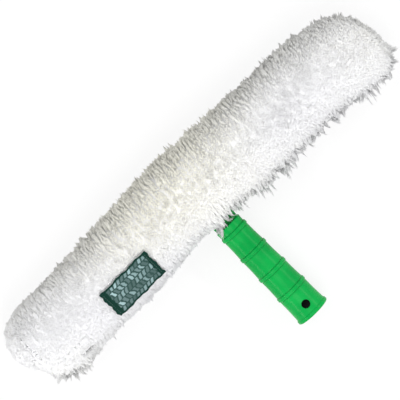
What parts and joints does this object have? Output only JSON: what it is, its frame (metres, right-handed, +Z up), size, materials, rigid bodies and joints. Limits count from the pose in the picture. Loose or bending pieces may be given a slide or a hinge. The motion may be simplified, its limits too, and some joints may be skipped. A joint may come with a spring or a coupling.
{
  "type": "window strip washer",
  "caption": "T-shaped window washer: a fleece sleeve on a water-holding crossbar, with a short ringed hollow handle that takes an extension pole.",
  "frame": {"origin": "on the surface it lies on, below the middle of its bounding box", "axes": "+X along the crossbar away from the closure flap, -Y towards the handle's end, +Z up"},
  "size_m": [0.379, 0.1732, 0.0567],
  "materials": {
    "frame_plastic": "moulded, fine grain",
    "handle_plastic": "satin green moulding",
    "liner_plastic": "moulded",
    "screw_steel": "zinc plated",
    "insert_brass": "turned",
    "backing_cloth": "woven",
    "fleece": "long pile",
    "tape": "twill tape",
    "thread": "sewn thread",
    "label_thread": "sewn thread",
    "loop_cloth": "looped",
    "label_cloth": "woven, satin ground",
    "hook_plastic": "moulded hooks on a tape"
  },
  "bodies": {
    "t_bar": {"crossbar_frame": "frame_plastic", "end_cap_left": "frame_plastic", "end_cap_right": "frame_plastic", "handle_grip": "handle_plastic", "pole_liner": "liner_plastic", "tongue_screw": "screw_steel", "screw_washer": "screw_steel", "threaded_insert": "insert_brass"},
    "sleeve": {"sleeve_backing": "backing_cloth", "fleece_pile": "fleece", "slit_binding_upper": "tape", "slit_binding_lower": "tape", "slit_bar_tack": "thread", "end_seam_tape": "tape", "mouth_binding": "tape", "loop_strip_upper": "loop_cloth", "loop_strip_lower": "loop_cloth", "label": "label_cloth", "label_thread_flap_side": "label_thread", "label_thread_neck_side": "label_thread"},
    "closure_flap": {"flap_pile": "fleece", "flap_backing": "backing_cloth", "flap_edge_binding": "tape", "flap_hinge_tape": "tape", "hook_strip": "hook_plastic"}
  },
  "joints": [
    {"name": "sleeve_slide", "type": "slide", "parent": "t_bar", "child": "sleeve", "axis": [1, 0, 0], "range_m": [0, 0.37], "deforming": ["flap_pile", "flap_backing", "flap_edge_binding", "hook_strip"]},
    {"name": "flap_turn", "type": "hinge", "parent": "sleeve", "child": "closure_flap", "pos_m": [-0.1742, 0.0771, 0], "axis": [0, 0, -1], "range_deg": [0, 150]}
  ]
}
